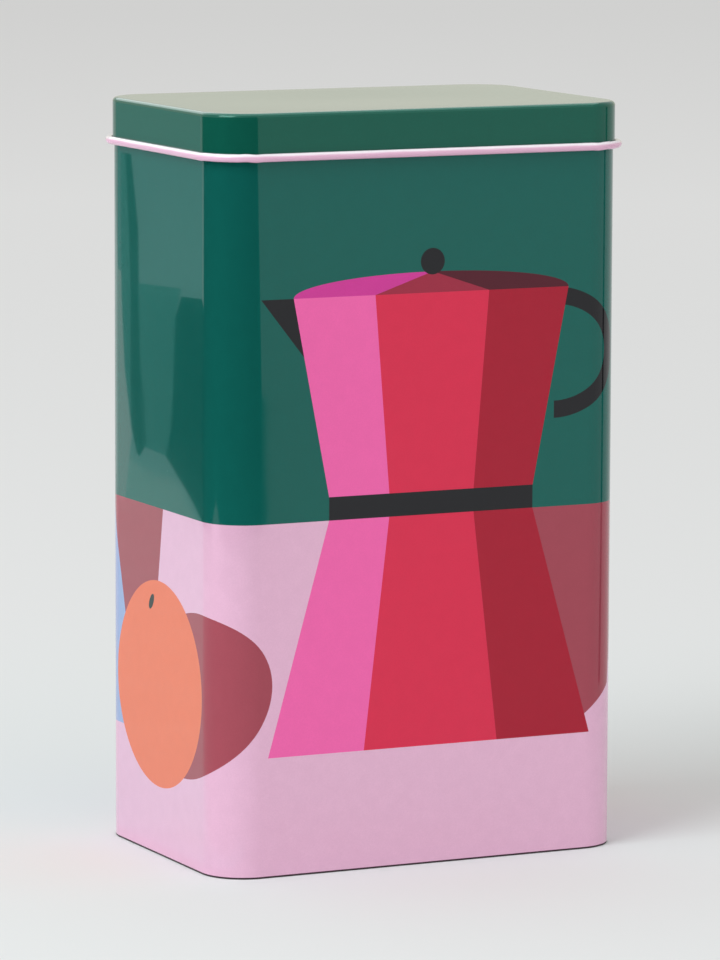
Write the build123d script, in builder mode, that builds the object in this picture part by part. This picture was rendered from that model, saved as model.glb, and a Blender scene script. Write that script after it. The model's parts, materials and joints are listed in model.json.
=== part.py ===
from build123d import *
import os

# A rectangular slip-lid tin of printed tinplate: a seamed body, a base clamped in its hem, a lid.
# Millimetres, +Z up. The origin is the middle of the standing rim, and the front faces -Y.

# ------------------------------------------------------------------------- driving dimensions
BODY_WIDTH = 115.4              # outside, along X
BODY_DEPTH = 76.4               # outside, along Y
CORNER_RADIUS = 11.4            # upright corners, outside
TIN_HEIGHT = 195.0              # standing rim to the top of the closed lid
SHEET = 0.23                    # tinplate thickness of every piece
FOLD_GAP = 0.03                 # left between two layers of folded sheet

CURL_DIAMETER = 2.0             # inward curl round the body's mouth
CURL_WRAP = 305                 # degrees that the sheet turns in a curl, the mouth's and the lid's

HEM_HEIGHT = 2.6                # inner leg of the hem round the body's foot
HEM_BEND_RADIUS = 0.05          # inside radius of its two bends

SEAM_WIDTH = 4.2                # the lock seam's interlocked layers, straight part
SEAM_END_GAP = 0.35             # from each hook's raw edge to the other hook's fold
SEAM_FOOT = 6.0                 # the seam's lower end, above the floor
SEAM_HEAD_CLEARANCE = 2.5       # from the seam's upper end to the underside of the mouth's curl

BASE_HEIGHT = 3.4               # floor to the top of the base panel
BASE_EDGE_RADIUS = 0.6          # its outside edge
BASE_RIM_CLEARANCE = 0.1        # from the rim's raw edge to the bottom of the hem
STAMP_INSET = 9.0               # stiffening step, in from the edge of the base panel
STAMP_HEIGHT = 0.8
STAMP_RADIUS = 0.38             # both edges of the step

LID_HEIGHT = 12.15              # top of the lid to the bottom of its curl
LID_EDGE_RADIUS = 1.2           # outside, round the lid's top
LID_SIDE_CLEARANCE = 0.2        # body to skirt, on each side
LID_SEAT_CLEARANCE = 0.05       # mouth's curl to the lid's underside
LID_CURL_DIAMETER = 2.05        # outward curl at the foot of the skirt

# ------------------------------------------------------------------------------ worked out
BODY_HEIGHT = TIN_HEIGHT - SHEET - LID_SEAT_CLEARANCE
CURL_CENTRE_Z = BODY_HEIGHT - CURL_DIAMETER / 2
CURL_UNDERSIDE_Z = BODY_HEIGHT - CURL_DIAMETER
SEAM_HEAD = CURL_UNDERSIDE_Z - SEAM_HEAD_CLEARANCE
LAYER_PITCH = SHEET + FOLD_GAP

# The wall is drawn in section where it crosses the middle of the front: x runs inward from the
# body's outside face and y runs up.
WALL_SECTION = Plane(origin=(0, -BODY_DEPTH / 2, 0), x_dir=(0, 1, 0), z_dir=(1, 0, 0))


def layer_middle(layer):
    """Depth of the middle of a sheet layer, counted inward from 0 at the body's outside face."""
    return layer * LAYER_PITCH + SHEET / 2


def outline(inset, mode=Mode.ADD):
    """The body's rounded rectangle, drawn `inset` inside its outside face."""
    RectangleRounded(BODY_WIDTH - 2 * inset, BODY_DEPTH - 2 * inset, CORNER_RADIUS - inset, mode=mode)


def wall_loop():
    """The path round the body's outside face, from the middle of the front wall."""
    half_front = BODY_WIDTH / 2 - CORNER_RADIUS
    side = BODY_DEPTH - 2 * CORNER_RADIUS
    with BuildLine() as loop:
        run = Line((0, -BODY_DEPTH / 2), (half_front, -BODY_DEPTH / 2))
        for length in (side, 2 * half_front, side, half_front):
            corner = JernArc(run @ 1, run % 1, CORNER_RADIUS, 90)
            run = Line(corner @ 1, corner @ 1 + (corner % 1) * length)
    return loop.wires()[0]


def sheet_ring(bottom, top):
    """A plain closed band of the wall between two heights."""
    with BuildSketch(Plane.XY.offset(bottom)) as band:
        outline(0)
        outline(SHEET, mode=Mode.SUBTRACT)
    extrude(band.sketch, amount=top - bottom)


# --------------------------------------------------------------------------------- body shell
def mouth_curl():
    """The wall's top edge rolled inward into a tube, its raw edge close to the wall."""
    with BuildSketch(WALL_SECTION) as curl:
        with BuildLine():
            rise = Line((SHEET / 2, CURL_UNDERSIDE_Z), (SHEET / 2, CURL_CENTRE_Z))
            JernArc(rise @ 1, rise % 1, (CURL_DIAMETER - SHEET) / 2, -CURL_WRAP)
        trace(line_width=SHEET)
    sweep(curl.sketch, path=wall_loop())


def foot_hem():
    """The wall's bottom edge turned in and up, with room between its legs for the base's rim."""
    bend = HEM_BEND_RADIUS + SHEET / 2
    with BuildSketch(WALL_SECTION) as hem:
        with BuildLine():
            outer_leg = Line((layer_middle(0), HEM_HEIGHT), (layer_middle(0), SHEET / 2 + bend))
            first = JernArc(outer_leg @ 1, outer_leg % 1, bend, 90)
            flat = Line(first @ 1, (layer_middle(2) - bend, SHEET / 2))
            second = JernArc(flat @ 1, flat % 1, bend, 90)
            Line(second @ 1, (layer_middle(2), HEM_HEIGHT))
        trace(line_width=SHEET)
    sweep(hem.sketch, path=wall_loop())


def seamed_wall(bottom, top):
    """The wrapped wall between two heights. Its ends hook together inside the right-hand wall.

    The end that comes from the front keeps to the outside layer, folds back at the seam and
    lies in layer 2. The end that comes from the back steps in to layer 3, runs under the
    other hook, folds and lies in layer 1.
    """
    half_seam = SEAM_WIDTH / 2
    half_front = BODY_WIDTH / 2 - CORNER_RADIUS
    face_x = BODY_WIDTH / 2
    middle = CORNER_RADIUS - SHEET / 2
    side_end = BODY_DEPTH / 2 - CORNER_RADIUS
    step_out = LAYER_PITCH
    step_in = 2 * LAYER_PITCH
    step_foot = half_seam + step_in + step_out
    tip = half_seam - SEAM_END_GAP
    with BuildSketch(Plane.XY.offset(bottom)) as wrap:
        with BuildLine():
            front_hook = Line((face_x - layer_middle(2), -tip), (face_x - layer_middle(2), half_seam))
            fold = JernArc(front_hook @ 1, front_hook % 1, LAYER_PITCH, -180)
            run = Line(fold @ 1, (face_x - layer_middle(0), -side_end))
            for length in (2 * half_front, 2 * side_end, 2 * half_front, side_end - step_foot):
                corner = JernArc(run @ 1, run % 1, middle, -90)
                run = Line(corner @ 1, corner @ 1 + (corner % 1) * length)
            outward = JernArc(run @ 1, run % 1, step_out, -90)
            inward = JernArc(outward @ 1, outward % 1, step_in, 90)
            back_hook = Line(inward @ 1, (face_x - layer_middle(3), -half_seam))
            fold = JernArc(back_hook @ 1, back_hook % 1, LAYER_PITCH, 180)
            Line(fold @ 1, (face_x - layer_middle(1), tip))
        trace(line_width=SHEET)
    extrude(wrap.sketch, amount=top - bottom)


with BuildPart() as body_shell:
    foot_hem()
    sheet_ring(HEM_HEIGHT, SEAM_FOOT)
    seamed_wall(SEAM_FOOT, SEAM_HEAD)
    sheet_ring(SEAM_HEAD, CURL_UNDERSIDE_Z)
    mouth_curl()


# --------------------------------------------------------------------------------- base panel
# Its rim lies in layer 1, between the two legs of the hem.
BASE_RIM_Z = SHEET + BASE_RIM_CLEARANCE

with BuildPart() as base_panel:
    with BuildSketch(Plane.XY.offset(BASE_RIM_Z)):
        outline(LAYER_PITCH)
    extrude(amount=BASE_HEIGHT - BASE_RIM_Z)
    fillet(base_panel.edges().group_by(Axis.Z)[-1], BASE_EDGE_RADIUS)
    with BuildSketch(Plane.XY.offset(BASE_HEIGHT)):
        outline(LAYER_PITCH + STAMP_INSET)
    extrude(amount=STAMP_HEIGHT)
    ledge = base_panel.faces().filter_by(Plane.XY).sort_by(Axis.Z)[-2]
    fillet(ledge.inner_wires()[0].edges(), STAMP_RADIUS)
    fillet(base_panel.edges().group_by(Axis.Z)[-1], STAMP_RADIUS)
    offset(amount=-SHEET, openings=base_panel.faces().sort_by(Axis.Z)[0])


# ---------------------------------------------------------------------------------------- lid
SKIRT_INSET = -(LID_SIDE_CLEARANCE + SHEET)
LID_CURL_CENTRE_Z = TIN_HEIGHT - LID_HEIGHT + LID_CURL_DIAMETER / 2


def lid_curl():
    """The skirt's foot rolled outward and up, its raw edge close to the skirt."""
    skirt_middle = SKIRT_INSET + SHEET / 2
    with BuildSketch(WALL_SECTION) as curl:
        with BuildLine():
            start = (skirt_middle, LID_CURL_CENTRE_Z)
            JernArc(start, (0, -1), (LID_CURL_DIAMETER - SHEET) / 2, -CURL_WRAP)
        trace(line_width=SHEET)
    sweep(curl.sketch, path=wall_loop())


with BuildPart() as lid:
    with BuildSketch(Plane.XY.offset(LID_CURL_CENTRE_Z)):
        outline(SKIRT_INSET)
    extrude(amount=TIN_HEIGHT - LID_CURL_CENTRE_Z)
    fillet(lid.edges().group_by(Axis.Z)[-1], LID_EDGE_RADIUS)
    offset(amount=-SHEET, openings=lid.faces().sort_by(Axis.Z)[0])
    lid_curl()


# ------------------------------------------------------------------------------------- export
os.makedirs("parts", exist_ok=True)
for name, piece in (("body_shell", body_shell), ("base_panel", base_panel), ("lid", lid)):
    piece.part.label = name
    export_step(piece.part, f"parts/{name}.step")
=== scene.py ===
import json
import math

import bpy
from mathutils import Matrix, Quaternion, Vector
from mathutils.geometry import delaunay_2d_cdt

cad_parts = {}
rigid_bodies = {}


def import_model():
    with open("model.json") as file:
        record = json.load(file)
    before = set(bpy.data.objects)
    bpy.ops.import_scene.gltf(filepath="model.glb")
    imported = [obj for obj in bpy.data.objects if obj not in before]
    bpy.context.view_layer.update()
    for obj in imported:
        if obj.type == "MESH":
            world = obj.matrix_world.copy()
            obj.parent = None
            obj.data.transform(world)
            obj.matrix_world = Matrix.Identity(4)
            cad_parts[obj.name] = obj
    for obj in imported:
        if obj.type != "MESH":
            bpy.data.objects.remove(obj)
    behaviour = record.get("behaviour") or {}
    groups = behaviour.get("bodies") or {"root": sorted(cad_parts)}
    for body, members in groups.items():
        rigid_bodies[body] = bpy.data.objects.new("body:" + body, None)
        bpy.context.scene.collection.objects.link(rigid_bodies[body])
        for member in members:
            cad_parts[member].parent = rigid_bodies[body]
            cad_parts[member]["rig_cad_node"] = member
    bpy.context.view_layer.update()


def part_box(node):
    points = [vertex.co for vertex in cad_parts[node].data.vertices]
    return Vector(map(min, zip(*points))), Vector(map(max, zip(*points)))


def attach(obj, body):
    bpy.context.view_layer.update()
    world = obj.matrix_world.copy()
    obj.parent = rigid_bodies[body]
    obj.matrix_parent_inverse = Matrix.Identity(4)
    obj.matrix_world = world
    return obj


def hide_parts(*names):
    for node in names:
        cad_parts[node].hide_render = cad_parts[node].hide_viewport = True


# A printed slip-lid tin. Lengths are in millimetres up to the floor, the lights and the camera, and
# in metres from there on. Noise, bumps and the softness of an ink's edge are in metres as well.
# A place on the body's wall is (u, z): u runs round the outside face from the middle of the front,
# positive towards +X, and z is the height. "Depth" is how far inside that face a point lies.
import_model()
MM = 0.001

# ------------------------------------------------------------------- sizes shared with the CAD
shell_low, shell_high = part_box("body_shell")
lid_low, lid_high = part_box("lid")
WIDTH = (shell_high.x - shell_low.x) / MM
DEPTH = (shell_high.y - shell_low.y) / MM
SHELL_TOP = shell_high.z / MM
LID_TOP = lid_high.z / MM
LID_FOOT = lid_low.z / MM
CORNER = 11.4                   # upright corners' radius, outside
SHEET = 0.23                    # tinplate
FOLD_GAP = 0.03                 # between folded layers
CURL = 2.0                      # mouth curl's diameter
LID_CURL = 2.05                 # lid curl's diameter
CURL_WRAP = 305                 # degrees that the sheet turns in a curl
HEM_TOP = 2.6                   # inner leg of the hem round the foot
HEM_BEND = 0.05                 # inside radius of its bends
SEAM_HALF = 2.1                 # half of the lock seam's straight part
SEAM_FOOT = 6.0                 # the seam's lower end
SEAM_HEAD = SHELL_TOP - CURL - 2.5      # the seam stops this far under the mouth's curl
SKIRT = -0.43                   # depth of the lid skirt's outside face
LID_EDGE = 1.2                  # radius round the lid's top

HALF_FRONT = WIDTH / 2 - CORNER
HALF_SIDE = DEPTH / 2 - CORNER
ARC = CORNER * math.pi / 2
PERIMETER = 4 * (HALF_FRONT + HALF_SIDE + ARC)
SEAM_U = HALF_FRONT + ARC + HALF_SIDE           # middle of the right-hand wall
CHART_START = SEAM_U - PERIMETER                # the wrap's two ends meet there
PITCH = SHEET + FOLD_GAP
FOLD = PITCH + SHEET / 2                        # outside radius of the seam's fold

# --------------------------------------------------------------------------------- wall form
SIDES = (((0, -1), DEPTH / 2, HALF_FRONT), ((1, 0), WIDTH / 2, HALF_SIDE),
         ((0, 1), DEPTH / 2, HALF_FRONT), ((-1, 0), WIDTH / 2, HALF_SIDE))


def wall_place(u):
    """Point on the body's outside face, its outward normal, and how far across a flat wall it is.

    The last value is -1 to 1 across a flat wall with the wall's number, or None on a corner.
    """
    s = (u + HALF_FRONT) % PERIMETER
    for number, ((nx, ny), reach, half) in enumerate(SIDES):
        tx, ty = -ny, nx
        if s <= 2 * half:
            along = s - half
            return (nx * reach + tx * along, ny * reach + ty * along), (nx, ny), (number, along / half)
        s -= 2 * half
        if s <= ARC:
            turn = s / CORNER
            mx = nx * math.cos(turn) + tx * math.sin(turn)
            my = ny * math.cos(turn) + ty * math.sin(turn)
            cx = nx * (reach - CORNER) + tx * half
            cy = ny * (reach - CORNER) + ty * half
            return (cx + mx * CORNER, cy + my * CORNER), (mx, my), None
        s -= ARC
    return wall_place(u - 1e-6)         # rounding left it just past the last corner


# Sheet walls are never quite flat: each draws in a little at mid-height.
BOW = (0.10, 0.08, 0.14, 0.05)          # front, right, back, left
BOW_TILT = (0.10, 0.3, -0.2, 0.45)      # how much lower or higher one edge's bow is
TILT_REACH = 0.2                        # of the height, for a tilt of 1


def bow(u, z):
    """How far the wall draws in at a place."""
    _, _, flat = wall_place(u)
    if flat is None:
        return 0.0
    number, across = flat
    up = z / SHELL_TOP
    low_middle = up + BOW_TILT[number] * TILT_REACH * across
    if not 0 < low_middle < 1:
        return 0.0
    return BOW[number] * (1 - across * across) ** 2 * math.sin(math.pi * low_middle) ** 2


def from_seam(u):
    """Signed distance round the wall from the middle of the lock seam."""
    return (u - SEAM_U + PERIMETER / 2) % PERIMETER - PERIMETER / 2


def seam_groove(u, z):
    """Depth of the open joint line outside the lock seam."""
    s = from_seam(u) - SEAM_HALF
    width = 2 * FOLD + FOLD_GAP
    if not (0 < s < width and SEAM_FOOT <= z <= SEAM_HEAD):
        return 0.0
    near = min(s, width - s, FOLD)
    return FOLD - math.sqrt(max(FOLD * FOLD - near * near, 0.0))


def seam_ridge(u, z):
    """How far the lock seam's other three layers stand inside the wall."""
    s = from_seam(u)
    if not SEAM_FOOT <= z <= SEAM_HEAD:
        return 0.0
    edge = min(s + SEAM_HALF + FOLD, SEAM_HALF + FOLD + PITCH - s)
    return 3 * PITCH * min(max(edge / (2 * FOLD), 0.0), 1.0) ** 0.5


def point(u, z, depth):
    """The point at a place, that far inside the body's outside face."""
    (x, y), (nx, ny), _ = wall_place(u)
    return Vector((x - nx * depth, y - ny * depth, z))


CORNER_STEPS = 28               # upright lines round a corner
FLAT_STEP = 3.6                 # about how far apart they are on a flat wall
FOLD_TURN = 15                  # degrees from one line to the next round a fold of the seam
SEAM_ZONE = 4.5                 # the plain lines stay this far from the seam's middle
SEAM_MARGIN = 0.4               # from the seam to the first line outside it


def plain_columns():
    """Places round the wall where a mesh has an upright line, from the left end of the front."""
    found = []
    start = -HALF_FRONT
    for half in (HALF_FRONT, HALF_SIDE, HALF_FRONT, HALF_SIDE):
        steps = round(2 * half / FLAT_STEP)
        found += [start + 2 * half * i / steps for i in range(steps)]
        start += 2 * half
        found += [start + ARC * i / CORNER_STEPS for i in range(CORNER_STEPS)]
        start += ARC
    return found


def shell_columns():
    """The plain columns with closer ones at the seam, over one whole wrap that starts and ends there."""
    turns = [math.radians(t) for t in range(0, 91, FOLD_TURN)]
    seam = [SEAM_HALF + FOLD * math.sin(t) for t in turns]
    seam += [SEAM_HALF + 2 * FOLD + FOLD_GAP - FOLD * math.sin(t) for t in turns]
    seam += [-SEAM_HALF - FOLD + FOLD * i / 2 for i in range(5)]
    seam += [SEAM_HALF + 2 * FOLD + FOLD_GAP + SEAM_MARGIN]
    found = [u for u in plain_columns() if abs(from_seam(u)) > SEAM_ZONE]
    found += [SEAM_U + s for s in seam]
    along = sorted({round((u - CHART_START) % PERIMETER, 5) for u in found} - {0.0})
    return [CHART_START] + [CHART_START + u for u in along] + [SEAM_U]


# ----------------------------------------------------------------------------------- artwork
# A plain drawing of a stovetop pot and a round fruit in flat inks, on a two-tone ground.
GROUND_LINE = 91.0              # green above, pink below
BARE_FOOT = 0.5                 # the print stops short of the hem's bend
INKS = {
    "ink_green": (0.005, 0.117, 0.098),
    "lid_green": (0.005, 0.104, 0.072),
    "ink_pale_pink": (0.812, 0.48, 0.665),
    "ink_pink": (0.93, 0.138, 0.44),
    "ink_red": (0.733, 0.027, 0.081),
    "ink_dark_red": (0.405, 0.0085, 0.031),
    "ink_magenta": (0.66, 0.045, 0.33),
    "ink_brown": (0.09, 0.010, 0.022),
    "ink_black": (0.014, 0.014, 0.017),
    "ink_shadow": (0.376, 0.064, 0.095),
    "ink_maroon": (0.36, 0.025, 0.058),
    "ink_orange": (0.86, 0.182, 0.095),
    "ink_pale_blue": (0.34, 0.42, 0.70),
    "ink_blue": (0.14, 0.22, 0.52),
    "ink_deep_blue": (0.04, 0.07, 0.22),
}
# A pot's three facets from left to right, then its lid's lit side, middle and dark side.
REDS = ("ink_pink", "ink_red", "ink_dark_red", "ink_magenta", "ink_maroon", "ink_brown")
BLUES = ("ink_deep_blue", "ink_blue", "ink_pale_blue", "ink_pale_blue", "ink_deep_blue", "ink_black")

POT_FOOT = 31.0                 # height of its foot
POT_RIM = 148.0                 # height of its rim
POT_BAND = 6.0                  # the waist's dark band, from the ground line up
FOOT_HALF = 46.0                # half widths
WAIST_HALF = 29.0
FACET = math.tan(math.pi / 8)   # the middle side of an octagon, seen square on
FACET_EDGES = (-1, -FACET, FACET, 1)
DOME = 5.4                      # the lid's rise
KNOB_RADIUS = 3.4
KNOB_RISE = 8                   # rim to the knob's middle
SPOUT_FOOT = (4.5, 131)         # in from the rim's end, and its height
HANDLE_FOOT = 114               # height of its lower end
HANDLE_HALF = 19.5              # half width of its outer edge
HANDLE_SIDE = 4.0               # thickness at its side
HANDLE_END = 4.5                # thickness at its ends
HANDLE_START = 4                # in from the rim's end
SHADOW_FOOT = 8                 # each way from the end of the pot's foot
SHADOW_RISE = 12                # how much higher the outer end of the shadow's foot is
SHADOW_HEAD = 33                # out from the end of the pot's waist

FRUIT_RADIUS = 27.0
FRUIT_Z = 45.0
FRUIT_SHADOW = (29, 21)         # half sizes of its leaning ellipse
FRUIT_SHADOW_SHIFT = 20
FRUIT_SHADOW_TILT = 20          # degrees
STALK = (2.4, 1.2)              # half sizes
STALK_SHIFT = (-5, 21)          # from the fruit's middle
STALK_TILT = 55                 # degrees

FRONT_POT = 1.5                 # where the pots' middles are, round the wall
BACK_POT = -151.0
FRUIT_FROM_POT = -93.0


def ellipse(u, z, half_u, half_z, tilt=0.0, start=0, end=360, count=96):
    """Points along an ellipse, counterclockwise between two angles."""
    c, s = math.cos(math.radians(tilt)), math.sin(math.radians(tilt))
    turns = [math.radians(start + (end - start) * i / count) for i in range(count + (end - start < 360))]
    return [(u + half_u * math.cos(t) * c - half_z * math.sin(t) * s,
             z + half_u * math.cos(t) * s + half_z * math.sin(t) * c) for t in turns]


def facets(centre, low, low_half, high, high_half, tones):
    """Three upright facets between two heights."""
    return [(tone, [(centre + low_half * left, low), (centre + low_half * right, low),
                    (centre + high_half * right, high), (centre + high_half * left, high)])
            for left, right, tone in zip(FACET_EDGES, FACET_EDGES[1:], tones)]


def pot(centre, tones, side, rim_half, spout):
    """A plain eight-sided stovetop pot.

    side is 1 with its handle on the right, or -1. spout is how far that stands out past the rim.
    """
    def shape(ink, places):
        return ink, [(centre + side * u, z) for u, z in places]
    waist_top = GROUND_LINE + POT_BAND
    handle_z = (POT_RIM + HANDLE_FOOT) / 2
    handle_rise = (POT_RIM - HANDLE_FOOT) / 2
    handle_u = rim_half - HANDLE_START
    outer = ellipse(handle_u, handle_z, HANDLE_HALF, handle_rise, start=-90, end=90, count=40)
    inner = ellipse(handle_u, handle_z, HANDLE_HALF - HANDLE_SIDE, handle_rise - HANDLE_END,
                    start=-90, end=90, count=40)
    lid = ellipse(0, POT_RIM, rim_half, DOME, end=180, count=60)
    lit_lid = ellipse(0, POT_RIM, rim_half, DOME, start=90, end=180, count=30)
    middle_half = rim_half * FACET
    spout_u, spout_z = SPOUT_FOOT
    shapes = [
        ("ink_shadow", [(centre + u, z) for u, z in (
            (FOOT_HALF - SHADOW_FOOT, POT_FOOT), (FOOT_HALF + SHADOW_FOOT, POT_FOOT + SHADOW_RISE),
            (WAIST_HALF + SHADOW_HEAD, GROUND_LINE), (WAIST_HALF, GROUND_LINE))]),
        shape("ink_black", outer + inner[::-1]),
        shape("ink_black", [(-rim_half - spout, POT_RIM), (-rim_half, POT_RIM),
                            (spout_u - rim_half, spout_z)]),
        shape(tones[5], lid),
        shape(tones[3], lit_lid + [(-middle_half, POT_RIM)]),
        shape(tones[4], [(-middle_half, POT_RIM), (middle_half, POT_RIM), (0, POT_RIM + DOME)]),
        shape("ink_black", ellipse(0, POT_RIM + KNOB_RISE, KNOB_RADIUS, KNOB_RADIUS, count=48)),
    ]
    shapes += facets(centre, POT_FOOT, FOOT_HALF, GROUND_LINE, WAIST_HALF, tones)
    shapes += facets(centre, waist_top, WAIST_HALF, POT_RIM, rim_half, tones)
    shapes.append(shape("ink_black", [(-WAIST_HALF, GROUND_LINE), (WAIST_HALF, GROUND_LINE),
                                      (WAIST_HALF, waist_top), (-WAIST_HALF, waist_top)]))
    return shapes


def fruit(centre):
    """A round fruit with a leaning shadow and a plain stalk."""
    shadow_u = centre + FRUIT_SHADOW_SHIFT
    stalk_u = centre + STALK_SHIFT[0]
    stalk_z = FRUIT_Z + STALK_SHIFT[1]
    return [("ink_shadow", ellipse(shadow_u, FRUIT_Z, *FRUIT_SHADOW, tilt=FRUIT_SHADOW_TILT)),
            ("ink_orange", ellipse(centre, FRUIT_Z, FRUIT_RADIUS, FRUIT_RADIUS)),
            ("ink_black", ellipse(stalk_u, stalk_z, *STALK, tilt=STALK_TILT, count=24))]


def wrapped(shapes):
    """The shapes, with those whose middle lies before the wrap's first end moved by a whole turn."""
    moved = []
    for ink, places in shapes:
        middle = sum(u for u, _ in places) / len(places)
        turn = PERIMETER if middle < CHART_START else 0
        moved.append((ink, [(u + turn, z) for u, z in places]))
    return moved


# From the bottom layer to the top one.
ARTWORK = wrapped(pot(BACK_POT, BLUES, side=-1, rim_half=29.0, spout=-2.0)
                  + pot(FRONT_POT, REDS, side=1, rim_half=39.0, spout=9.0)
                  + fruit(FRONT_POT + FRUIT_FROM_POT)
                  + fruit(BACK_POT + FRUIT_FROM_POT))
ARTWORK_SPANS = [(min(u for u, _ in places), max(u for u, _ in places)) for _, places in ARTWORK]


def inside(u, z, outline):
    """Whether a place is inside a closed outline."""
    hit = False
    for (u0, z0), (u1, z1) in zip(outline, outline[1:] + outline[:1]):
        if (z0 > z) != (z1 > z) and u < u0 + (z - z0) * (u1 - u0) / (z1 - z0):
            hit = not hit
    return hit


def ink_at(u, z):
    """The ink on top at a place."""
    for (ink, outline), (low, high) in zip(reversed(ARTWORK), reversed(ARTWORK_SPANS)):
        if low <= u <= high and inside(u, z, outline):
            return ink
    # Below the print the foot's bend is bare tinplate, darkened with painted contact shade.
    if z < BARE_FOOT:
        return "foot_rim"
    return "ink_green" if z > GROUND_LINE else "ink_pale_pink"


# --------------------------------------------------------------------------------- materials
# Noise frequencies per metre.
BLOTCH = 260
GLOSS = 420
SPECK = 1100
PEEL = 1300
GRAIN = 2600


class Nodes:
    """A material's node tree, built one node at a time."""

    def __init__(self, name):
        self.material = bpy.data.materials.new(name)
        self.material.use_nodes = True
        self.tree = self.material.node_tree
        self.shader = self.tree.nodes["Principled BSDF"]
        self.coords = self.tree.nodes.new("ShaderNodeTexCoord")

    def add(self, kind, inputs=(), **settings):
        node = self.tree.nodes.new("ShaderNode" + kind)
        for key, value in settings.items():
            setattr(node, key, value)
        for key, value in dict(inputs).items():
            if isinstance(value, bpy.types.NodeSocket):
                self.tree.links.new(value, node.inputs[key])
            else:
                node.inputs[key].default_value = value
        return node

    def noise(self, scale, detail=2.0, stretch=(1, 1, 1)):
        """Noise in the object's own metres. stretch multiplies its frequency along X, Y and Z."""
        mapped = self.add("Mapping", {"Vector": self.coords.outputs["Object"], "Scale": stretch})
        made = self.add("TexNoise", {"Vector": mapped.outputs[0], "Scale": scale, "Detail": detail})
        return made.outputs["Fac"]

    def between(self, value, low, high, out_low, out_high):
        """The value, clamped from low to high and spread over the other two."""
        made = self.add("MapRange", {"Value": value, "From Min": low, "From Max": high,
                                     "To Min": out_low, "To Max": out_high})
        return made.outputs["Result"]

    def mix(self, amount, first, second):
        """A colour from the first to the second."""
        made = self.add("Mix", data_type="RGBA")
        for key, value in (("Factor", amount), ("A", first), ("B", second)):
            socket = next(s for s in made.inputs if s.name == key and s.enabled)
            if isinstance(value, bpy.types.NodeSocket):
                self.tree.links.new(value, socket)
            else:
                socket.default_value = value if key == "Factor" else (*value, 1.0)
        return next(s for s in made.outputs if s.enabled)

    def link(self, value, socket):
        self.tree.links.new(value, self.shader.inputs[socket])

    def all_over(self, **values):
        """Values that are the same all over. A socket's name has _ for a space."""
        for key, value in values.items():
            self.shader.inputs[key.replace("_", " ")].default_value = value

    def bump(self, *layers):
        """Chained bumps of (height, distance in metres, strength)."""
        normal = None
        for height, distance, strength in layers:
            inputs = {"Height": height, "Distance": distance, "Strength": strength}
            if normal is not None:
                inputs["Normal"] = normal
            normal = self.add("Bump", inputs).outputs[0]
        self.link(normal, "Normal")


def scaled(colour, by):
    return tuple(min(c * by, 1.0) for c in colour)


def ink_material(name, colour):
    """Flat printed ink under clear gloss lacquer, on rolled sheet."""
    n = Nodes(name)
    blotch = n.noise(BLOTCH, 3)
    grain = n.noise(GRAIN, 2)
    tone = n.mix(n.between(blotch, 0.35, 0.65, 0, 1), scaled(colour, 1.01), scaled(colour, 1.045))
    fine = n.mix(n.between(grain, 0.3, 0.7, 0, 0.6), tone, scaled(colour, 0.95))
    speck = n.between(n.noise(SPECK, 1), 0.80, 0.82, 0, 0.25)
    n.link(n.mix(speck, fine, scaled(colour, 0.75)), "Base Color")
    n.link(n.between(n.noise(GLOSS, 3), 0.3, 0.7, 0.17, 0.25), "Roughness")
    rolled = n.noise(60, 3, (1, 1, 40))
    peel = n.noise(PEEL, 2)
    n.bump((rolled, 0.00003, 0.05), (peel, 0.00002, 0.06))
    n.all_over(Coat_Weight=1.0, Coat_Roughness=0.035, Coat_IOR=1.36, Specular_IOR_Level=0.0, Metallic=0.26)
    return n.material


EDGE_WANDER = 0.00012           # metres up and down, of the line where the ink ends
EDGE_SOFTNESS = 0.00025         # metres each way, over which it ends


def curl_material(name, colour, painted_highlight, edge_height):
    """The ink on the lid's curl, which goes over to a near-white painted highlight above an uneven line along
    the curl's top.
    """
    n = Nodes(name)
    height = n.add("SeparateXYZ", {0: n.coords.outputs["Object"]}).outputs["Z"]
    wander = n.between(n.noise(70, 2, (1, 1, 0)), 0.3, 0.7, -EDGE_WANDER, EDGE_WANDER)
    line = n.add("Math", {0: height, 1: wander}, operation="ADD").outputs[0]
    above = n.between(line, edge_height - EDGE_SOFTNESS, edge_height + EDGE_SOFTNESS, 0, 1)
    grain = n.between(n.noise(GRAIN, 2), 0.3, 0.7, 0, 0.6)
    ink = n.mix(grain, colour, scaled(colour, 0.93))
    n.link(n.mix(above, ink, painted_highlight), "Base Color")
    n.link(n.between(n.noise(GLOSS, 3), 0.3, 0.7, 0.2, 0.3), "Roughness")
    n.bump((n.noise(PEEL, 2), 0.00002, 0.3))
    n.all_over(Coat_Weight=1.0, Coat_Roughness=0.08, Specular_IOR_Level=0.0)
    return n.material


def tinplate_material(name, colour, roughness):
    """Bright tinplate with fine rolling lines and a faint crystalline bloom."""
    n = Nodes(name)
    bloom = n.between(n.noise(180, 4), 0.35, 0.65, 0, 1)
    n.link(n.mix(bloom, scaled(colour, 0.9), scaled(colour, 1.05)), "Base Color")
    rolled = n.noise(90, 4, (0.6, 22, 22))
    n.link(n.between(rolled, 0.3, 0.7, roughness - 0.05, roughness + 0.08), "Roughness")
    n.bump((rolled, 0.00003, 0.4), (n.noise(1500, 2), 0.00002, 0.2))
    n.all_over(Metallic=1.0)
    return n.material


# Above this share of the lid curl's height the curl is painted near white: a painted highlight.
HIGHLIGHT_LINE_ON_CURL = 0.73             # of the lid curl's height
MATERIALS = {name: ink_material(name, colour) for name, colour in INKS.items()}
MATERIALS["tinplate"] = tinplate_material("tinplate", (0.80, 0.79, 0.77), 0.28)
# The foot rim's purple-brown darkening is painted contact shade along the bottom edge, on bare tinplate.
MATERIALS["foot_rim"] = tinplate_material("foot_rim", (0.085, 0.055, 0.066), 0.5)
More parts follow.
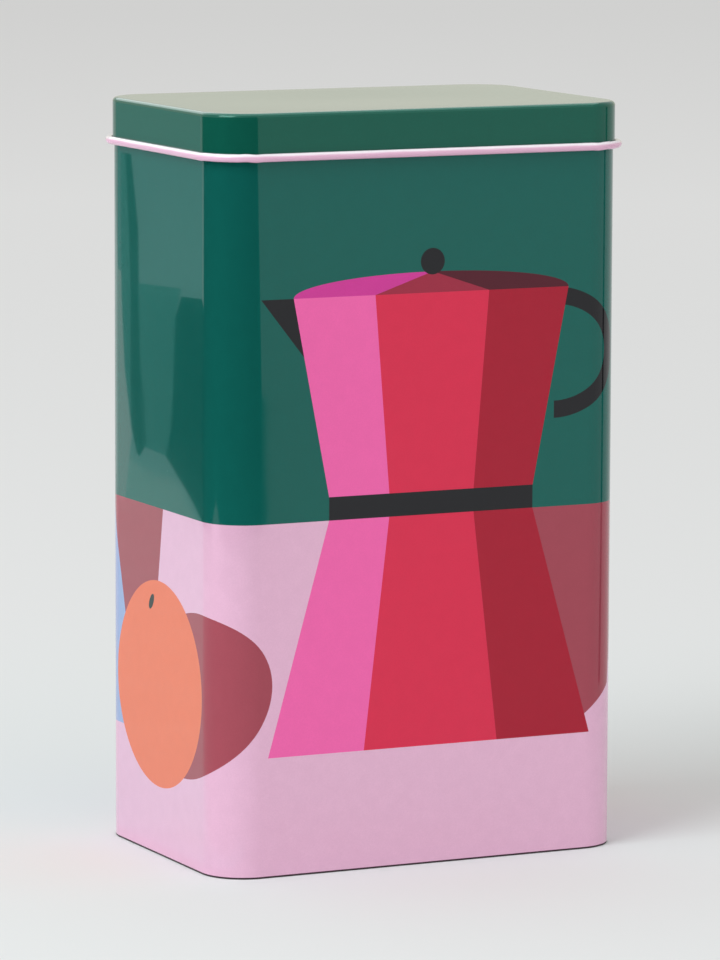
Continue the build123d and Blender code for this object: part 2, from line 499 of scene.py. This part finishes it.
# The near-white colour is the painted highlight on the curl's upper shoulder.
MATERIALS["lid_curl"] = curl_material("lid_curl", scaled(INKS["ink_pale_pink"], 0.97), (0.92, 0.84, 0.91),
                                      (LID_FOOT + LID_CURL * HIGHLIGHT_LINE_ON_CURL) * MM)
MATERIALS["raw_edge"] = tinplate_material("raw_edge", (0.50, 0.49, 0.48), 0.42)


# ------------------------------------------------------------------------------ mesh building
BAKE_MAP = "OFBake"


class Piece:
    """Faces in millimetres, each corner with its normal and its place in the unrolled map."""

    def __init__(self, name):
        self.name = name
        self.places = []
        self.known = {}
        self.faces = []
        self.kinds = []
        self.normals = []
        self.maps = []

    def vertex(self, place):
        key = (round(place.x, 4), round(place.y, 4), round(place.z, 4))
        if key not in self.known:
            self.known[key] = len(self.places)
            self.places.append(place)
        return self.known[key]

    def face(self, corners, kind):
        """corners are (place, normal, map place), counterclockwise from outside the metal."""
        ring = []
        for place, normal, spot in corners:
            v = self.vertex(place)
            if v not in [r[0] for r in ring]:
                ring.append((v, normal, spot))
        if len(ring) < 3:
            return
        self.faces.append([r[0] for r in ring])
        self.normals += [r[1] for r in ring]
        self.maps += [r[2] for r in ring]
        self.kinds.append(kind)

    def make(self, body, node, map_size):
        mesh = bpy.data.meshes.new(self.name)
        mesh.from_pydata([p * MM for p in self.places], [], self.faces)
        names = sorted(set(self.kinds))
        for kind in names:
            mesh.materials.append(MATERIALS[kind])
        mesh.polygons.foreach_set("material_index", [names.index(k) for k in self.kinds])
        mesh.polygons.foreach_set("use_smooth", [True] * len(self.faces))
        layer = mesh.uv_layers.new(name=BAKE_MAP)
        layer.data.foreach_set("uv", [c / map_size for spot in self.maps for c in spot])
        mesh.normals_split_custom_set(self.normals)
        made = bpy.data.objects.new(self.name, mesh)
        bpy.context.scene.collection.objects.link(made)
        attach(made, body)
        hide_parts(node)


def arc(centre, radius, start, end, steps, facing=1):
    """A run along an arc of (depth, z), with its outward directions. Angles are in degrees.

    Angle 0 points inward, away from the wall's face, and 90 points up. facing is -1 where
    the metal is outside the arc.
    """
    run = []
    for i in range(steps + 1):
        t = math.radians(start + (end - start) * i / steps)
        c, s = math.cos(t), math.sin(t)
        run.append(((centre[0] + radius * c, centre[1] + radius * s), (facing * c, facing * s)))
    return run


def straight(start, end, facing, steps=1):
    """A straight run of (depth, z), all facing one way."""
    return [((start[0] + (end[0] - start[0]) * i / steps, start[1] + (end[1] - start[1]) * i / steps), facing)
            for i in range(steps + 1)]


def no_shift(u, depth, z):
    return 0.0, 0.0


def sweep(piece, columns, run, kind, map_z, shift=no_shift, squeeze=1.0):
    """Faces along a run of (depth, z), all round the wall. Returns the map height that it took.

    shift(u, depth, z) is how far the metal is moved further in and up at a place. squeeze is
    how much lower the run is in the map than in the metal.
    """
    reach = [0.0]
    for ((d0, z0), _), ((d1, z1), _) in zip(run, run[1:]):
        reach.append(reach[-1] + math.hypot(d1 - d0, z1 - z0))
    ring = columns + [columns[0] + PERIMETER]
    lines = []
    for u in ring:
        _, (nx, ny), _ = wall_place(u)
        line = []
        for ((d, z), (fd, fz)), way in zip(run, reach):
            further, higher = shift(u, d, z)
            place = point(u, z + higher, d + further)
            line.append((place, Vector((-nx * fd, -ny * fd, fz)), (u - ring[0], map_z + way * squeeze)))
        lines.append(line)
    for left, right in zip(lines, lines[1:]):
        for i in range(len(run) - 1):
            piece.face([left[i], right[i], right[i + 1], left[i + 1]], kind)
    return reach[-1] * squeeze


# ------------------------------------------------------------------------------------- body
MAP_GAP = 2.0                   # between two runs in the unrolled map
WALL_ROWS = 39                  # of the wall's outside mesh
ROW_CLEARANCE = 1               # the even rows stay this far from the named heights
SEAM_STEP = 0.05                # height of the step at each end of the seam
SEAM_ROWS = 18                  # inside the wall, from the seam's head to its foot
INSIDE_SQUEEZE = 0.6            # the inside face's height in the map, as a share of its own
CUT_TOLERANCE = 1e-5            # places closer than this are one place


def outside_surface(u, z):
    """A point of the wall's outside face."""
    return point(u, z, bow(u, z) + seam_groove(u, z))


def outside_normal(u, z, low, high):
    """The outside face's direction, from places close round the one given."""
    step = 0.02
    across = outside_surface(u + step, z) - outside_surface(u - step, z)
    up = outside_surface(u, min(z + step, high)) - outside_surface(u, max(z - step, low))
    return across.cross(up).normalized()


def printed_wall(piece, columns, low, high):
    """The outside of the wall, cut along every edge of the artwork."""
    rows = [low + (high - low) * i / WALL_ROWS for i in range(WALL_ROWS + 1)]
    named = (GROUND_LINE, SEAM_FOOT, SEAM_HEAD)
    rows = [z for z in rows if min(abs(z - height) for height in named) > ROW_CLEARANCE]
    rows += [GROUND_LINE, BARE_FOOT, SEAM_FOOT - SEAM_STEP, SEAM_FOOT, SEAM_HEAD, SEAM_HEAD + SEAM_STEP]
    rows.sort()
    places = [(u, z) for u in columns for z in rows]
    count = len(rows)
    edges = [(c * count + r, c * count + r + 1) for c in range(len(columns)) for r in range(count - 1)]
    edges += [(c * count + r, (c + 1) * count + r) for c in range(len(columns) - 1) for r in range(count)]
    for _, outline in ARTWORK:
        first = len(places)
        places += outline
        edges += [(first + i, first + (i + 1) % len(outline)) for i in range(len(outline))]
    cut, _, faces, _, _, _ = delaunay_2d_cdt([Vector(p) for p in places], edges, [], 0, CUT_TOLERANCE)
    corners = [(outside_surface(u, z), outside_normal(u, z, low, high), (u - columns[0], z)) for u, z in cut]
    for face in faces:
        u = sum(cut[v].x for v in face) / len(face)
        z = sum(cut[v].y for v in face) / len(face)
        a, b, c = (cut[v] for v in face[:3])
        turn = (b - a).cross(c - a)
        ring = face if turn > 0 else face[::-1]
        piece.face([corners[v] for v in ring], ink_at(u, z))


def make_body():
    """The printed wall, the mouth's curl, the inside face and the hem."""
    piece = Piece("tin_body")
    columns = shell_columns()
    curl_z = SHELL_TOP - CURL / 2
    bend = HEM_BEND + SHEET
    outer, inner = CURL / 2, CURL / 2 - SHEET
    printed_wall(piece, columns, bend, curl_z)
    loop = columns[:-1]
    end = 180 - CURL_WRAP
    at = SHELL_TOP + MAP_GAP

    def run_round(run, kind, shift=no_shift, squeeze=1.0):
        nonlocal at
        at += sweep(piece, loop, run, kind, at, shift, squeeze)

    def inside_shift(u, depth, z):
        return bow(u, z) + seam_ridge(u, z), 0.0

    # The mouth's curl, from the wall's top edge round to its raw edge and back inside.
    tip = math.radians(end)
    tip_face = (math.sin(tip), -math.cos(tip))
    centre = (outer, curl_z)
    run_round(arc(centre, outer, 180, end, steps=26), "tinplate")
    run_round(straight((outer + outer * math.cos(tip), curl_z + outer * math.sin(tip)),
                       (outer + inner * math.cos(tip), curl_z + inner * math.sin(tip)), tip_face), "raw_edge")
    run_round(arc(centre, inner, end, 180, steps=20, facing=-1), "tinplate")
    at += MAP_GAP
    # The inside face, from the curl down to the hem.
    heights = [curl_z, SEAM_HEAD + SEAM_STEP, SEAM_HEAD]
    heights += [SEAM_HEAD + (SEAM_FOOT - SEAM_HEAD) * i / SEAM_ROWS for i in range(1, SEAM_ROWS + 1)]
    heights += [SEAM_FOOT - SEAM_STEP, bend]
    run_round([((SHEET, z), (1, 0)) for z in heights], "tinplate", inside_shift, INSIDE_SQUEEZE)
    at += MAP_GAP
    # The hem: between its legs, up its inner leg and down the inner leg's far side.
    far = 3 * SHEET + 2 * FOLD_GAP
    first, second = (bend, bend), (far - bend, bend)
    run_round(arc(first, HEM_BEND, 180, 270, steps=4, facing=-1), "tinplate")
    run_round(straight((bend, SHEET), (far - bend, SHEET), (0, 1)), "tinplate")
    run_round(arc(second, HEM_BEND, 270, 360, steps=4, facing=-1), "tinplate")
    run_round(straight((far - SHEET, bend), (far - SHEET, HEM_TOP), (-1, 0), steps=2), "tinplate")
    run_round(straight((far - SHEET, HEM_TOP), (far, HEM_TOP), (0, 1)), "raw_edge")
    run_round(straight((far, HEM_TOP), (far, bend), (1, 0), steps=2), "tinplate")
    at += MAP_GAP
    # The hem's underside, back to the printed wall.
    run_round(arc(second, bend, 0, -90, steps=5), "raw_edge")
    run_round(straight((far - bend, 0), (bend, 0), (0, -1)), "raw_edge")
    # The outside bend of the foot carries the painted contact shade.
    run_round(arc(first, bend, -90, -180, steps=8), "foot_rim")
    piece.make("tin", "body_shell", max(at, PERIMETER) + MAP_GAP)


# -------------------------------------------------------------------------------------- lid
PINCH = 0.13                    # how far the curl's pinches go in and up, the deepest
SIDE_PINCH = 0.6                # of that, on the side walls
PINCH_AT = 9                    # degrees into the corner
PINCH_WIDTH = 5.0
SWELL_AT = 22                   # the curl swells again beside a pinch
SWELL_WIDTH = 6.0
SWELL = 0.6                     # of the pinch
PINCH_CLEAR = 0.1               # the curl's metal nearest the skirt isn't moved
PINCH_FULL = 0.8                # further out than that, the whole pinch is reached
SAG = 0.16                      # how far the lid's flat top draws in at its middle
SAG_MARGIN = 3                  # from its edge, left flat
TOP_RINGS = (3.0, 5.5, 8.5)     # depths of the lines round the flat top


def curl_pinch(u, depth, z):
    """Small pinches in the lid's curl, where the roller ran into and out of each corner."""
    if depth > SKIRT - PINCH_CLEAR:
        return 0.0, 0.0
    _, (nx, ny), _ = wall_place(u)
    turn = math.degrees(math.atan2(min(abs(nx), abs(ny)), max(abs(nx), abs(ny))))
    far = math.degrees(math.atan2(abs(ny), abs(nx)))
    size = PINCH * (1.0 if far > 45 else SIDE_PINCH) * min((SKIRT - PINCH_CLEAR - depth) / PINCH_FULL, 1)
    swell = SWELL * math.exp(-((turn - SWELL_AT) / SWELL_WIDTH) ** 2)
    dent = math.exp(-((turn - PINCH_AT) / PINCH_WIDTH) ** 2) - swell
    return size * max(dent, 0), -size * dent


def lid_sag(x, y):
    """How far the lid's top draws in at a point."""
    across = min(abs(x) / (HALF_FRONT + CORNER - SAG_MARGIN), 1)
    along = min(abs(y) / (HALF_SIDE + CORNER - SAG_MARGIN), 1)
    return SAG * (1 - across ** 2) ** 2 * (1 - along ** 2) ** 2


def lid_sheet(piece, columns, height, facing, kind, depths, map_z):
    """One face of the lid's flat top: rings in to the corners' centres, then a grid."""
    def corner(x, y):
        step = 0.1
        slope_x = (lid_sag(x - step, y) - lid_sag(x + step, y)) / (2 * step)
        slope_y = (lid_sag(x, y - step) - lid_sag(x, y + step)) / (2 * step)
        normal = Vector((-slope_x, -slope_y, 1)).normalized() * facing
        return Vector((x, y, height - lid_sag(x, y))), normal, (x + WIDTH / 2, map_z + (y + DEPTH / 2))

    def add(ring):
        piece.face(ring if facing > 0 else ring[::-1], kind)

    rings = []
    for depth in depths:
        rings.append([corner(*point(u, 0, depth).xy) for u in columns + columns[:1]])
    for outer, inner in zip(rings, rings[1:]):
        for i in range(len(columns)):
            add([outer[i], outer[i + 1], inner[i + 1], inner[i]])
    across = sorted({round(point(u, 0, CORNER).x, 5) for u in columns})
    along = sorted({round(point(u, 0, CORNER).y, 5) for u in columns})
    for x0, x1 in zip(across, across[1:]):
        for y0, y1 in zip(along, along[1:]):
            add([corner(x0, y0), corner(x1, y0), corner(x1, y1), corner(x0, y1)])


def make_lid():
    """The skirt, its rolled curl and both faces of the top."""
    piece = Piece("tin_lid")
    columns = plain_columns()
    edge_z = LID_TOP - LID_EDGE
    turn_depth = SKIRT + LID_EDGE
    inside_skirt = SKIRT + SHEET
    curl_out = LID_CURL / 2
    curl_in = curl_out - SHEET
    centre = (inside_skirt - curl_out, LID_FOOT + curl_out)
    tip = math.radians(-CURL_WRAP)
    at = 0.0

    def run_round(run, kind):
        nonlocal at
        at += sweep(piece, columns, run, kind, at, curl_pinch)

    def on_curl(radius):
        return centre[0] + radius * math.cos(tip), centre[1] + radius * math.sin(tip)

    run_round(straight((SKIRT, centre[1]), (SKIRT, edge_z), (-1, 0), steps=3), "lid_green")
    run_round(arc((turn_depth, edge_z), LID_EDGE, 180, 90, steps=10), "lid_green")
    at += MAP_GAP
    run_round(arc(centre, curl_in, -CURL_WRAP, 0, steps=20, facing=-1), "lid_green")
    at += MAP_GAP
    run_round(straight(on_curl(curl_out), on_curl(curl_in), (-math.sin(tip), math.cos(tip))), "raw_edge")
    # The outside of the curl, with its painted highlight along the top.
    run_round(arc(centre, curl_out, 0, -CURL_WRAP, steps=30), "lid_curl")
    at += MAP_GAP
    run_round(arc((turn_depth, edge_z), LID_EDGE - SHEET, 90, 180, steps=8, facing=-1), "tinplate")
    run_round(straight((inside_skirt, edge_z), (inside_skirt, centre[1]), (1, 0), steps=2), "tinplate")
    at += MAP_GAP
    depths = [turn_depth, *TOP_RINGS, CORNER]
    lid_sheet(piece, columns, LID_TOP, 1, "lid_green", depths, at)
    at += DEPTH + MAP_GAP
    lid_sheet(piece, columns, LID_TOP - SHEET, -1, "tinplate", depths, at)
    at += DEPTH + MAP_GAP
    piece.make("lid", "lid", max(at, PERIMETER) + MAP_GAP)


make_body()
make_lid()
base = next(o for o in bpy.context.scene.objects if o.get("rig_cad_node") == "base_panel")
base.data.materials.clear()
base.data.materials.append(MATERIALS["tinplate"])


# ------------------------------------------------------------------------ floor, light, camera
# Lengths from here on are in metres.
FLOOR_RADIUS = 7
FLOOR_SIDES = 96
FLOOR_SHADE_UNDER_TIN = (0.768, 0.795, 0.79)
# Round the tin the floor's colour changes, from one distance to another, to each of these in turn. This is
# painted shade and light: darker and a little green-grey close to the tin, lightest at middle distances.
FLOOR_SHADE_RINGS = (
    (0.07, 0.4, (0.782, 0.784, 0.784)),
    (0.2, 1.9, (0.885, 0.885, 0.885)),
    (1.9, 3.8, (0.85, 0.85, 0.85)),
)
WORLD_LEVEL = 0.73              # the room's brightness
WORLD_LOW = (0.16, (1.0, 0.99, 0.86, 1))        # share of the way up, and colour
WORLD_HIGH = (0.34, (1.0, 1.0, 0.995, 1))
LIGHTS_AIM = (0, 0, 0.1)        # about the tin's middle

CAMERA_AZIMUTH = -25.599        # degrees from the front
CAMERA_ELEVATION = 7.806
CAMERA_ROLL = 0.184
CAMERA_DISTANCE = 1.522921
CAMERA_RIGHT = -0.000507        # its aim, from the tin's middle
CAMERA_UP = -0.002367
SENSOR_WIDTH = 36               # millimetres
FOCAL_LENGTH = 218.384          # millimetres


def mesh_object(name, places, faces):
    mesh = bpy.data.meshes.new(name)
    mesh.from_pydata(places, [], faces)
    made = bpy.data.objects.new(name, mesh)
    bpy.context.scene.collection.objects.link(made)
    return made


def make_floor():
    """A pale floor with no gloss, whose colour carries painted shade: darker near the tin, lighter further
    out.
    """
    n = Nodes("floor_painted_shade")
    apart = n.add("VectorMath", {0: n.coords.outputs["Object"]}, operation="LENGTH").outputs["Value"]
    # The colour darkens towards the tin: painted shade.
    tone = FLOOR_SHADE_UNDER_TIN
    for start, end, colour in FLOOR_SHADE_RINGS:
        tone = n.mix(n.between(apart, start, end, 0, 1), tone, colour)
    n.link(tone, "Base Color")
    n.all_over(Roughness=0.9, Specular_IOR_Level=0.0)
    turns = [2 * math.pi * i / FLOOR_SIDES for i in range(FLOOR_SIDES)]
    rim = [(FLOOR_RADIUS * math.cos(t), FLOOR_RADIUS * math.sin(t), 0) for t in turns]
    floor = mesh_object("floor", rim, [list(range(FLOOR_SIDES))])
    floor.data.materials.append(n.material)


def soft_box(name, place, size, power, tint=(1, 1, 1)):
    """A rectangular studio light that points at the tin."""
    data = bpy.data.lights.new(name, "AREA")
    data.shape = "RECTANGLE"
    data.size, data.size_y = size
    data.energy = power
    data.color = tint
    made = bpy.data.objects.new(name, data)
    made.location = place
    made.rotation_mode = "QUATERNION"
    made.rotation_quaternion = (Vector(LIGHTS_AIM) - Vector(place)).to_track_quat("-Z", "Y")
    bpy.context.scene.collection.objects.link(made)


def make_world():
    """An even pale room, a little warmer just above the floor."""
    world = bpy.data.worlds.new("studio")
    world.use_nodes = True
    tree = world.node_tree
    coords = tree.nodes.new("ShaderNodeTexCoord")
    split = tree.nodes.new("ShaderNodeSeparateXYZ")
    ramp = tree.nodes.new("ShaderNodeValToRGB")
    for stop, (position, colour) in zip(ramp.color_ramp.elements, (WORLD_LOW, WORLD_HIGH)):
        stop.position = position
        stop.color = colour
    back = tree.nodes["Background"]
    tree.links.new(coords.outputs["Generated"], split.inputs[0])
    tree.links.new(split.outputs["Z"], ramp.inputs["Fac"])
    tree.links.new(ramp.outputs["Color"], back.inputs["Color"])
    back.inputs["Strength"].default_value = WORLD_LEVEL
    bpy.context.scene.world = world


def make_camera():
    """The photograph's view: from the front left, a little above."""
    azimuth, elevation, roll = map(math.radians, (CAMERA_AZIMUTH, CAMERA_ELEVATION, CAMERA_ROLL))
    back = Vector((math.sin(azimuth) * math.cos(elevation), -math.cos(azimuth) * math.cos(elevation),
                   math.sin(elevation)))
    right = Vector((math.cos(azimuth), math.sin(azimuth), 0))
    up = back.cross(right)
    aim = Vector((0, 0, LID_TOP * MM / 2)) + right * CAMERA_RIGHT + up * CAMERA_UP
    data = bpy.data.cameras.new("camera")
    data.sensor_width = SENSOR_WIDTH
    data.lens = FOCAL_LENGTH
    camera = bpy.data.objects.new("camera", data)
    camera.rotation_mode = "QUATERNION"
    rolled = Quaternion(back, roll)
    camera.rotation_quaternion = rolled @ (-back).to_track_quat("-Z", "Y")
    camera.location = aim + back * CAMERA_DISTANCE
    bpy.context.scene.collection.objects.link(camera)
    bpy.context.scene.camera = camera


# ------------------------------------------------------------------------------ what it mirrors
# Flat cloths and cards stand in for the room that the tin's gloss shows. They are fixed in the
# studio. A bearing is in degrees round the tin, with its distance from the middle. The cards'
# outlines are (y, z) in millimetres: the places on the left-hand wall that show them, when it
# is seen from where the camera is made.
CLOTH_HEIGHT = 0.002            # of the cloths that lie on the floor
FAR = 6.5                       # their outer edge
LEFT_CLOTH = 0.62               # inner edge of the front left one, from the tin's middle
LEFT_BULGE = 0.1                # how much further out that edge is round one bearing
LEFT_BULGE_AT = 95              # degrees
LEFT_BULGE_WIDTH = 12           # degrees
# Bearings and distances along its end by the front, and round the narrow cloth on the right.
LEFT_END = ((-9, 3.0), (-17, 1.45), (-21.4, 1.0), (-20.5, 0.785), (-19.8, 0.66), (-19.4, 0.62))
RIGHT_CLOTH = ((-68, 0.3), (-74, 0.3), (-84, FAR), (-78, FAR))

CARD_Y = 0.10                   # where the near cards stand, behind the tin
CARD_DARK = ((-110, 152), (-13, 147), (-9, 141), (-7.5, 124), (-6, 112), (-3, 105), (-10, 100.5),
             (-18, 96), (-27, 91), (-110, 99))
CARD_GREY = ((13.5, 148), (-13, 149), (-9, 141), (-7.5, 124), (-6, 112), (-3, 105), (10, 106))
CARD_LINE = ((21.8, 181), (19.3, 162), (17.9, 144), (17.9, 123), (17.0, 110), (13.9, 104), (11.8, 103),
             (7.8, 107), (8.8, 117), (11.0, 126), (12.6, 144), (13.3, 162), (18.0, 181))
CARD_EDGE = ((25, 181), (24.5, 144), (22, 125), (17, 110), (17.9, 123), (17.9, 144), (19.3, 162),
             (21.8, 181))
CARD_BRIGHT = ((24.7, 150), (95, 165), (95, 90), (22, 90), (17, 108), (22, 125))

BACK_Y = 9                      # where the wide back cloth stands
# The line where the grey cloth on the floor ends and the back cloth begins.
HORIZON = ((-90, 84), (-60, 84), (-16, 92), (-6, 98), (14, 103), (36, 112), (60, 100))
NEAR_FLOOR = HORIZON + ((60, 3), (-90, 3))
BACK_WIDE = ((-60, 260), (60, 260)) + HORIZON[:0:-1]

FRONT_REACH = 1.6               # where the curved front card stands, from the tin's middle
FRONT_HEIGHT = 0.9              # its height at its first bearing
FRONT_FALL = 0.7                # how much lower it would be a quarter turn on
FRONT_FIRST = -8                # degrees
FRONT_LAST = 68                 # degrees

# The corners of the sloping softbox above the tin.
OVERHEAD = ((-1.3, -1.0, 2.0), (1.3, -1.0, 2.0), (1.3, 3.2, 1.25), (-1.3, 3.2, 1.25))


def cloth(name, level, tint=(1, 1, 1)):
    """Dull cloth or card."""
    n = Nodes(name)
    mottle = n.between(n.noise(40, 2), 0.3, 0.7, 0, 1)
    n.link(n.mix(mottle, scaled(tint, level), scaled(tint, level * 1.1)), "Base Color")
    n.all_over(Roughness=1.0, Specular_IOR_Level=0.0)
    return n.material


def glow(name, level):
    """The even face of a softbox."""
    material = bpy.data.materials.new(name)
    material.use_nodes = True
    tree = material.node_tree
    tree.nodes.clear()
    light = tree.nodes.new("ShaderNodeEmission")
    light.inputs["Strength"].default_value = level
    out = tree.nodes.new("ShaderNodeOutputMaterial")
    tree.links.new(light.outputs[0], out.inputs["Surface"])
    return material


def only_in_gloss(name, places, material):
    """A flat sheet that only gloss shows, so it neither shades nor lights anything else."""
    made = mesh_object(name, places, [list(range(len(places)))])
    made.data.materials.append(material)
    made.visible_camera = False
    made.visible_diffuse = False
    made.visible_shadow = False


def bearing(angle, reach, height=CLOTH_HEIGHT):
    """A place round the tin. The angle runs from -Y towards -X, in degrees."""
    t = math.radians(angle)
    return -reach * math.sin(t), -reach * math.cos(t), height


def mirrored(outline, far):
    """The places at Y = far that the left-hand wall mirrors at an outline's places on it.

    Where the view reaches the floor first, it is the place on the floor.
    """
    camera = bpy.context.scene.camera.location
    found = []
    for y, z in outline:
        wall = Vector((shell_low.x, y * MM, z * MM))
        ray = wall - camera
        reach = min((far - wall.y) / ray.y, (wall.z - CLOTH_HEIGHT / 2) / -ray.z)
        found.append((wall.x - ray.x * reach, wall.y + ray.y * reach, wall.z + ray.z * reach))
    return found


def make_cloths():
    """Everything that only the tin's gloss shows."""
    black = cloth("flag_black", 0.010)
    grey = cloth("flag_grey", 1.0, (0.20, 0.46, 0.43))
    pale = cloth("flag_pale", 0.60, (0.74, 1.08, 1.10))
    floor_grey = cloth("flag_near", 0.70, (0.94, 1.2, 1.15))

    inner = []
    for a in range(-16, 145, 4):
        bulge = LEFT_BULGE * math.exp(-((a - LEFT_BULGE_AT) / LEFT_BULGE_WIDTH) ** 2)
        inner.append(bearing(a, LEFT_CLOTH + bulge))
    outer = [bearing(a, FAR) for a in range(144, -9, -4)]
    only_in_gloss("flag_front_left", inner + outer + [bearing(a, reach) for a, reach in LEFT_END], black)
    only_in_gloss("flag_right", [bearing(a, reach) for a, reach in RIGHT_CLOTH], black)

    for name, outline, material in (("card_dark", CARD_DARK, black), ("card_grey", CARD_GREY, grey),
                                    ("card_line", CARD_LINE, black), ("card_edge", CARD_EDGE, grey),
                                    ("card_bright", CARD_BRIGHT, glow("card_bright", 1.0))):
        only_in_gloss(name, mirrored(outline, CARD_Y), material)
    only_in_gloss("flag_near", mirrored(NEAR_FLOOR, BACK_Y), floor_grey)
    only_in_gloss("flag_back_wide", mirrored(BACK_WIDE, BACK_Y), pale)

    foot = [bearing(a, FRONT_REACH, 0.0) for a in range(FRONT_FIRST, FRONT_LAST + 1, 4)]
    head = [bearing(a, FRONT_REACH, FRONT_HEIGHT - FRONT_FALL * (a - FRONT_FIRST) / 90)
            for a in range(FRONT_LAST, FRONT_FIRST - 1, -4)]
    only_in_gloss("card_front", foot + head, black)
    only_in_gloss("panel_overhead", OVERHEAD, glow("panel_overhead", 2.2))


make_floor()
make_world()
soft_box("key", place=(-1.6, -0.5, 1.5), size=(1.3, 1.3), power=25, tint=(0.94, 1.0, 1.02))
soft_box("fill", place=(0.9, -2.2, 1.4), size=(1.6, 1.2), power=2)
make_camera()
make_cloths()
bpy.context.scene.view_settings.view_transform = "Standard"
